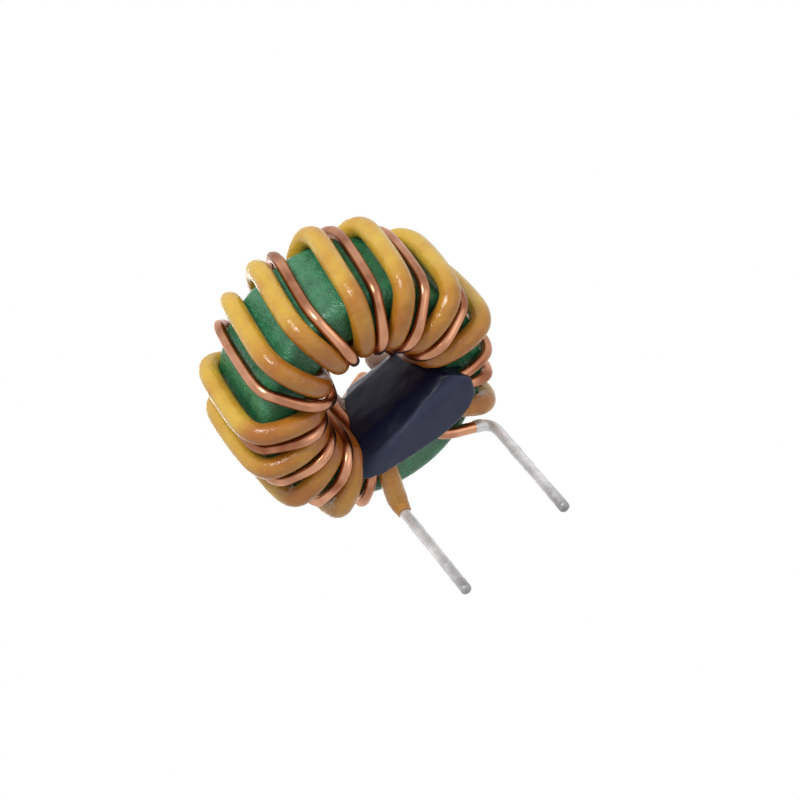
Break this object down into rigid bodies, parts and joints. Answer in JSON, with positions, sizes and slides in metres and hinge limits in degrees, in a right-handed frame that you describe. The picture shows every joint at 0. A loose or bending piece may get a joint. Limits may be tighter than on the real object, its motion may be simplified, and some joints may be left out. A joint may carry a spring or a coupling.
{
  "type": "toroidal inductor",
  "caption": "Ring-core inductor wound with a thick jacketed wire and a thinner enamelled wire side by side, fixed by a compound in the bore, with straight tinned leads for a circuit board.",
  "frame": {"origin": "on the ring's axis, at the upper face of the circuit board that it is fixed to", "axes": "+Z along the ring's axis, away from the board; leads point along -Z; +Y from the axis towards the side with the leads and the compound; the thick wire's lead is on -X"},
  "size_m": [0.0163, 0.0159, 0.018],
  "materials": {
    "core_coat": "glossy epoxy coat with fine bumps",
    "jacket": "glossy translucent amber plastic",
    "enamel": "glossy clear enamel on copper",
    "tin": "bright dipped tin, slightly uneven",
    "compound": "glossy hardened compound"
  },
  "bodies": {
    "root": {"toroid_core": "core_coat", "insulated_winding": "jacket", "enamelled_winding": "enamel", "insulated_lead": "tin", "enamelled_lead": "tin", "bore_compound": "compound"}
  },
  "joints": []
}
